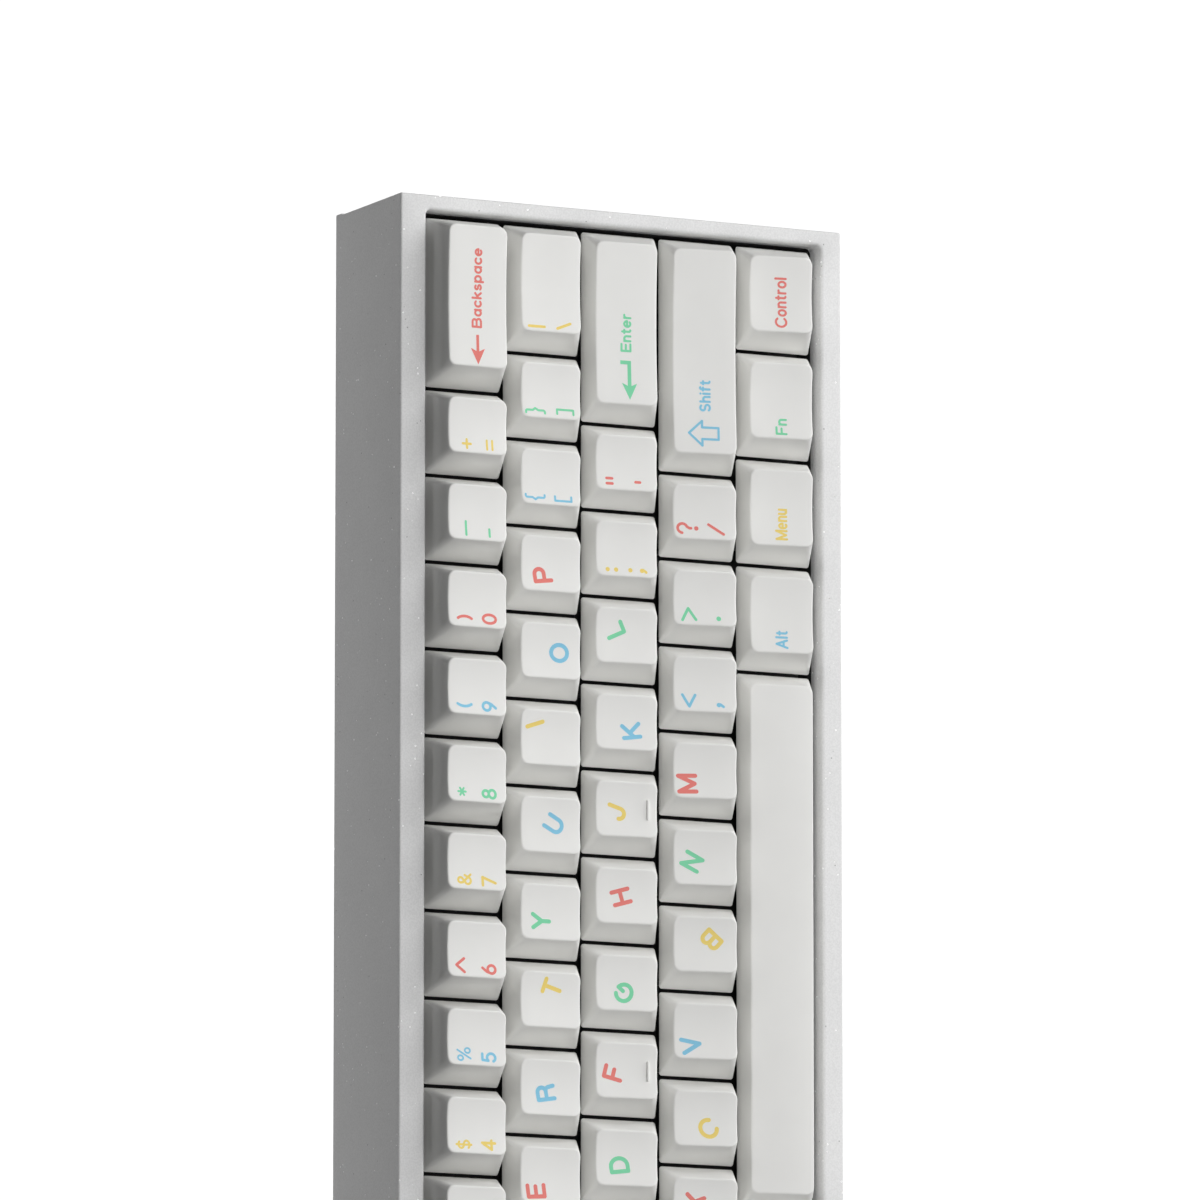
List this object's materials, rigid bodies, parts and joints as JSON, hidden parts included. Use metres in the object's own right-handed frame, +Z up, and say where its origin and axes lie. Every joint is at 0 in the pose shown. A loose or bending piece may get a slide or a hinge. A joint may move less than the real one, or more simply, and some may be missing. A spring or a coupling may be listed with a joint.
{
  "type": "mechanical keyboard",
  "caption": "Compact mechanical keyboard in a high wedge-shaped case, with sculpted white keycaps that press down on sprung switches.",
  "frame": {"origin": "on the desk, below the middle of the keyboard's outline", "axes": "+X along the key rows to the user's right, +Y from the user to the rear, +Z up from the desk"},
  "size_m": [0.294, 0.1108, 0.0427],
  "materials": {
    "case": "bead-blasted, silver grey, with a fine sparkle",
    "cover": "bead-blasted, silver grey",
    "keycap": "fine-textured white",
    "switch_plate": "dark satin",
    "switch_housing": "matte black",
    "circuit_board": "black solder mask",
    "socket_metal": "plain bright",
    "rubber": "matte black",
    "switch_stem": "self-lubricating plastic",
    "steel": "zinc-plated screws, springs and stabiliser wires",
    "legend_red": "dye in the cap",
    "legend_yellow": "dye in the cap",
    "legend_green": "dye in the cap",
    "legend_blue": "dye in the cap"
  },
  "bodies": {
    "case": {"case_frame": "case", "bottom_cover": "cover", "circuit_board": "circuit_board", "switch_plate": "switch_plate", "switch_housings": "switch_housing", "usb_socket": "socket_metal", "rubber_foot_front": "rubber", "rubber_foot_rear": "rubber"},
    "left_keys_row_1": {"left_keys_row_1": "keycap"},
    "key_3": {"key_3": "keycap"},
    "key_4": {"key_4": "keycap"},
    "key_5": {"key_5": "keycap"},
    "key_6": {"key_6": "keycap"},
    "key_7": {"key_7": "keycap"},
    "key_8": {"key_8": "keycap"},
    "key_9": {"key_9": "keycap"},
    "key_0": {"key_0": "keycap"},
    "key_minus": {"key_minus": "keycap"},
    "key_equals": {"key_equals": "keycap"},
    "key_backspace": {"key_backspace": "keycap"},
    "left_keys_row_2": {"left_keys_row_2": "keycap"},
    "key_e": {"key_e": "keycap"},
    "key_r": {"key_r": "keycap"},
    "key_t": {"key_t": "keycap"},
    "key_y": {"key_y": "keycap"},
    "key_u": {"key_u": "keycap"},
    "key_i": {"key_i": "keycap"},
    "key_o": {"key_o": "keycap"},
    "key_p": {"key_p": "keycap"},
    "key_left_bracket": {"key_left_bracket": "keycap"},
    "key_right_bracket": {"key_right_bracket": "keycap"},
    "key_backslash": {"key_backslash": "keycap"},
    "left_keys_row_3": {"left_keys_row_3": "keycap"},
    "key_d": {"key_d": "keycap"},
    "key_f": {"key_f": "keycap"},
    "key_g": {"key_g": "keycap"},
    "key_h": {"key_h": "keycap"},
    "key_j": {"key_j": "keycap"},
    "key_k": {"key_k": "keycap"},
    "key_l": {"key_l": "keycap"},
    "key_semicolon": {"key_semicolon": "keycap"},
    "key_quote": {"key_quote": "keycap"},
    "key_enter": {"key_enter": "keycap"},
    "left_keys_row_4": {"left_keys_row_4": "keycap"},
    "key_x": {"key_x": "keycap"},
    "key_c": {"key_c": "keycap"},
    "key_v": {"key_v": "keycap"},
    "key_b": {"key_b": "keycap"},
    "key_n": {"key_n": "keycap"},
    "key_m": {"key_m": "keycap"},
    "key_comma": {"key_comma": "keycap"},
    "key_full_stop": {"key_full_stop": "keycap"},
    "key_slash": {"key_slash": "keycap"},
    "key_right_shift": {"key_right_shift": "keycap"},
    "left_keys_row_5": {"left_keys_row_5": "keycap"},
    "key_space": {"key_space": "keycap"},
    "key_right_alt": {"key_right_alt": "keycap"},
    "key_menu": {"key_menu": "keycap"},
    "key_fn": {"key_fn": "keycap"},
    "key_right_control": {"key_right_control": "keycap"}
  },
  "joints": [
    {"name": "left_keys_row_1_press", "type": "slide", "parent": "case", "child": "left_keys_row_1", "axis": [0, 0.1045, -0.9945], "range_m": [0, 0.004], "stiffness_N_per_m": 225, "springref_m": -0.004},
    {"name": "key_3_press", "type": "slide", "parent": "case", "child": "key_3", "axis": [0, 0.1045, -0.9945], "range_m": [0, 0.004], "stiffness_N_per_m": 75, "springref_m": -0.004},
    {"name": "key_4_press", "type": "slide", "parent": "case", "child": "key_4", "axis": [0, 0.1045, -0.9945], "range_m": [0, 0.004], "stiffness_N_per_m": 75, "springref_m": -0.004},
    {"name": "key_5_press", "type": "slide", "parent": "case", "child": "key_5", "axis": [0, 0.1045, -0.9945], "range_m": [0, 0.004], "stiffness_N_per_m": 75, "springref_m": -0.004},
    {"name": "key_6_press", "type": "slide", "parent": "case", "child": "key_6", "axis": [0, 0.1045, -0.9945], "range_m": [0, 0.004], "stiffness_N_per_m": 75, "springref_m": -0.004},
    {"name": "key_7_press", "type": "slide", "parent": "case", "child": "key_7", "axis": [0, 0.1045, -0.9945], "range_m": [0, 0.004], "stiffness_N_per_m": 75, "springref_m": -0.004},
    {"name": "key_8_press", "type": "slide", "parent": "case", "child": "key_8", "axis": [0, 0.1045, -0.9945], "range_m": [0, 0.004], "stiffness_N_per_m": 75, "springref_m": -0.004},
    {"name": "key_9_press", "type": "slide", "parent": "case", "child": "key_9", "axis": [0, 0.1045, -0.9945], "range_m": [0, 0.004], "stiffness_N_per_m": 75, "springref_m": -0.004},
    {"name": "key_0_press", "type": "slide", "parent": "case", "child": "key_0", "axis": [0, 0.1045, -0.9945], "range_m": [0, 0.004], "stiffness_N_per_m": 75, "springref_m": -0.004},
    {"name": "key_minus_press", "type": "slide", "parent": "case", "child": "key_minus", "axis": [0, 0.1045, -0.9945], "range_m": [0, 0.004], "stiffness_N_per_m": 75, "springref_m": -0.004},
    {"name": "key_equals_press", "type": "slide", "parent": "case", "child": "key_equals", "axis": [0, 0.1045, -0.9945], "range_m": [0, 0.004], "stiffness_N_per_m": 75, "springref_m": -0.004},
    {"name": "key_backspace_press", "type": "slide", "parent": "case", "child": "key_backspace", "axis": [0, 0.1045, -0.9945], "range_m": [0, 0.004], "stiffness_N_per_m": 75, "springref_m": -0.004},
    {"name": "left_keys_row_2_press", "type": "slide", "parent": "case", "child": "left_keys_row_2", "axis": [0, 0.1045, -0.9945], "range_m": [0, 0.004], "stiffness_N_per_m": 225, "springref_m": -0.004},
    {"name": "key_e_press", "type": "slide", "parent": "case", "child": "key_e", "axis": [0, 0.1045, -0.9945], "range_m": [0, 0.004], "stiffness_N_per_m": 75, "springref_m": -0.004},
    {"name": "key_r_press", "type": "slide", "parent": "case", "child": "key_r", "axis": [0, 0.1045, -0.9945], "range_m": [0, 0.004], "stiffness_N_per_m": 75, "springref_m": -0.004},
    {"name": "key_t_press", "type": "slide", "parent": "case", "child": "key_t", "axis": [0, 0.1045, -0.9945], "range_m": [0, 0.004], "stiffness_N_per_m": 75, "springref_m": -0.004},
    {"name": "key_y_press", "type": "slide", "parent": "case", "child": "key_y", "axis": [0, 0.1045, -0.9945], "range_m": [0, 0.004], "stiffness_N_per_m": 75, "springref_m": -0.004},
    {"name": "key_u_press", "type": "slide", "parent": "case", "child": "key_u", "axis": [0, 0.1045, -0.9945], "range_m": [0, 0.004], "stiffness_N_per_m": 75, "springref_m": -0.004},
    {"name": "key_i_press", "type": "slide", "parent": "case", "child": "key_i", "axis": [0, 0.1045, -0.9945], "range_m": [0, 0.004], "stiffness_N_per_m": 75, "springref_m": -0.004},
    {"name": "key_o_press", "type": "slide", "parent": "case", "child": "key_o", "axis": [0, 0.1045, -0.9945], "range_m": [0, 0.004], "stiffness_N_per_m": 75, "springref_m": -0.004},
    {"name": "key_p_press", "type": "slide", "parent": "case", "child": "key_p", "axis": [0, 0.1045, -0.9945], "range_m": [0, 0.004], "stiffness_N_per_m": 75, "springref_m": -0.004},
    {"name": "key_left_bracket_press", "type": "slide", "parent": "case", "child": "key_left_bracket", "axis": [0, 0.1045, -0.9945], "range_m": [0, 0.004], "stiffness_N_per_m": 75, "springref_m": -0.004},
    {"name": "key_right_bracket_press", "type": "slide", "parent": "case", "child": "key_right_bracket", "axis": [0, 0.1045, -0.9945], "range_m": [0, 0.004], "stiffness_N_per_m": 75, "springref_m": -0.004},
    {"name": "key_backslash_press", "type": "slide", "parent": "case", "child": "key_backslash", "axis": [0, 0.1045, -0.9945], "range_m": [0, 0.004], "stiffness_N_per_m": 75, "springref_m": -0.004},
    {"name": "left_keys_row_3_press", "type": "slide", "parent": "case", "child": "left_keys_row_3", "axis": [0, 0.1045, -0.9945], "range_m": [0, 0.004], "stiffness_N_per_m": 225, "springref_m": -0.004},
    {"name": "key_d_press", "type": "slide", "parent": "case", "child": "key_d", "axis": [0, 0.1045, -0.9945], "range_m": [0, 0.004], "stiffness_N_per_m": 75, "springref_m": -0.004},
    {"name": "key_f_press", "type": "slide", "parent": "case", "child": "key_f", "axis": [0, 0.1045, -0.9945], "range_m": [0, 0.004], "stiffness_N_per_m": 75, "springref_m": -0.004},
    {"name": "key_g_press", "type": "slide", "parent": "case", "child": "key_g", "axis": [0, 0.1045, -0.9945], "range_m": [0, 0.004], "stiffness_N_per_m": 75, "springref_m": -0.004},
    {"name": "key_h_press", "type": "slide", "parent": "case", "child": "key_h", "axis": [0, 0.1045, -0.9945], "range_m": [0, 0.004], "stiffness_N_per_m": 75, "springref_m": -0.004},
    {"name": "key_j_press", "type": "slide", "parent": "case", "child": "key_j", "axis": [0, 0.1045, -0.9945], "range_m": [0, 0.004], "stiffness_N_per_m": 75, "springref_m": -0.004},
    {"name": "key_k_press", "type": "slide", "parent": "case", "child": "key_k", "axis": [0, 0.1045, -0.9945], "range_m": [0, 0.004], "stiffness_N_per_m": 75, "springref_m": -0.004},
    {"name": "key_l_press", "type": "slide", "parent": "case", "child": "key_l", "axis": [0, 0.1045, -0.9945], "range_m": [0, 0.004], "stiffness_N_per_m": 75, "springref_m": -0.004},
    {"name": "key_semicolon_press", "type": "slide", "parent": "case", "child": "key_semicolon", "axis": [0, 0.1045, -0.9945], "range_m": [0, 0.004], "stiffness_N_per_m": 75, "springref_m": -0.004},
    {"name": "key_quote_press", "type": "slide", "parent": "case", "child": "key_quote", "axis": [0, 0.1045, -0.9945], "range_m": [0, 0.004], "stiffness_N_per_m": 75, "springref_m": -0.004},
    {"name": "key_enter_press", "type": "slide", "parent": "case", "child": "key_enter", "axis": [0, 0.1045, -0.9945], "range_m": [0, 0.004], "stiffness_N_per_m": 75, "springref_m": -0.004},
    {"name": "left_keys_row_4_press", "type": "slide", "parent": "case", "child": "left_keys_row_4", "axis": [0, 0.1045, -0.9945], "range_m": [0, 0.004], "stiffness_N_per_m": 150, "springref_m": -0.004},
    {"name": "key_x_press", "type": "slide", "parent": "case", "child": "key_x", "axis": [0, 0.1045, -0.9945], "range_m": [0, 0.004], "stiffness_N_per_m": 75, "springref_m": -0.004},
    {"name": "key_c_press", "type": "slide", "parent": "case", "child": "key_c", "axis": [0, 0.1045, -0.9945], "range_m": [0, 0.004], "stiffness_N_per_m": 75, "springref_m": -0.004},
    {"name": "key_v_press", "type": "slide", "parent": "case", "child": "key_v", "axis": [0, 0.1045, -0.9945], "range_m": [0, 0.004], "stiffness_N_per_m": 75, "springref_m": -0.004},
    {"name": "key_b_press", "type": "slide", "parent": "case", "child": "key_b", "axis": [0, 0.1045, -0.9945], "range_m": [0, 0.004], "stiffness_N_per_m": 75, "springref_m": -0.004},
    {"name": "key_n_press", "type": "slide", "parent": "case", "child": "key_n", "axis": [0, 0.1045, -0.9945], "range_m": [0, 0.004], "stiffness_N_per_m": 75, "springref_m": -0.004},
    {"name": "key_m_press", "type": "slide", "parent": "case", "child": "key_m", "axis": [0, 0.1045, -0.9945], "range_m": [0, 0.004], "stiffness_N_per_m": 75, "springref_m": -0.004},
    {"name": "key_comma_press", "type": "slide", "parent": "case", "child": "key_comma", "axis": [0, 0.1045, -0.9945], "range_m": [0, 0.004], "stiffness_N_per_m": 75, "springref_m": -0.004},
    {"name": "key_full_stop_press", "type": "slide", "parent": "case", "child": "key_full_stop", "axis": [0, 0.1045, -0.9945], "range_m": [0, 0.004], "stiffness_N_per_m": 75, "springref_m": -0.004},
    {"name": "key_slash_press", "type": "slide", "parent": "case", "child": "key_slash", "axis": [0, 0.1045, -0.9945], "range_m": [0, 0.004], "stiffness_N_per_m": 75, "springref_m": -0.004},
    {"name": "key_right_shift_press", "type": "slide", "parent": "case", "child": "key_right_shift", "axis": [0, 0.1045, -0.9945], "range_m": [0, 0.004], "stiffness_N_per_m": 75, "springref_m": -0.004},
    {"name": "left_keys_row_5_press", "type": "slide", "parent": "case", "child": "left_keys_row_5", "axis": [0, 0.1045, -0.9945], "range_m": [0, 0.004], "stiffness_N_per_m": 225, "springref_m": -0.004},
    {"name": "key_space_press", "type": "slide", "parent": "case", "child": "key_space", "axis": [0, 0.1045, -0.9945], "range_m": [0, 0.004], "stiffness_N_per_m": 75, "springref_m": -0.004},
    {"name": "key_right_alt_press", "type": "slide", "parent": "case", "child": "key_right_alt", "axis": [0, 0.1045, -0.9945], "range_m": [0, 0.004], "stiffness_N_per_m": 75, "springref_m": -0.004},
    {"name": "key_menu_press", "type": "slide", "parent": "case", "child": "key_menu", "axis": [0, 0.1045, -0.9945], "range_m": [0, 0.004], "stiffness_N_per_m": 75, "springref_m": -0.004},
    {"name": "key_fn_press", "type": "slide", "parent": "case", "child": "key_fn", "axis": [0, 0.1045, -0.9945], "range_m": [0, 0.004], "stiffness_N_per_m": 75, "springref_m": -0.004},
    {"name": "key_right_control_press", "type": "slide", "parent": "case", "child": "key_right_control", "axis": [0, 0.1045, -0.9945], "range_m": [0, 0.004], "stiffness_N_per_m": 75, "springref_m": -0.004}
  ]
}
